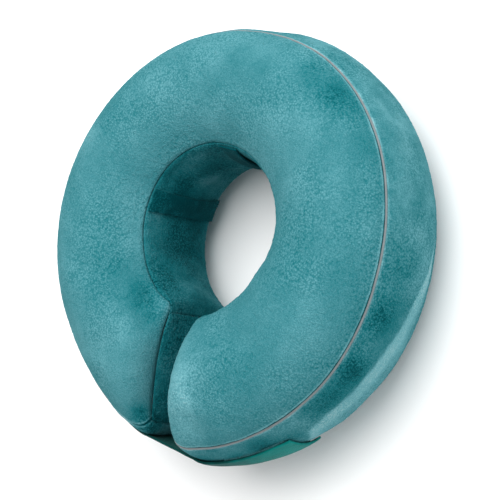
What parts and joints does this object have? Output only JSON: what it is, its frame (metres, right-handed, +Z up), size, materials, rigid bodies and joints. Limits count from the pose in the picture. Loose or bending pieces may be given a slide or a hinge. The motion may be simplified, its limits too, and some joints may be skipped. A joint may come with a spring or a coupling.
{
  "type": "inflatable recovery collar",
  "caption": "Ring-shaped padded plush neck collar for a pet, split at one side, with a closure strap, a piped rim seam and flat bands across the neck hole.",
  "frame": {"origin": "middle of the footprint, on the surface that the back panel lies on", "axes": "+Z up along the neck axis, towards the piped front panel; the split between the two ends faces -Y"},
  "size_m": [0.2984, 0.2968, 0.1064],
  "materials": {
    "plush": "short-pile teal plush with brushed nap",
    "piping_cord": "light grey satin cord",
    "band_cloth": "smooth dark teal knit",
    "strap_cloth": "smooth green-teal brushed loop cloth",
    "hook_tape": "hook-and-loop tape",
    "chamber_film": "soft clear grey film"
  },
  "bodies": {
    "root": {"front_panel": "plush", "rim_wall": "plush", "back_panel": "plush", "neck_wall": "plush", "left_end_panel": "plush", "right_end_panel": "plush", "piping": "piping_cord", "collar_loop_left": "band_cloth", "collar_loop_top": "band_cloth", "closure_strap": "strap_cloth", "fastener_patch": "hook_tape", "air_chamber": "chamber_film"}
  },
  "joints": []
}
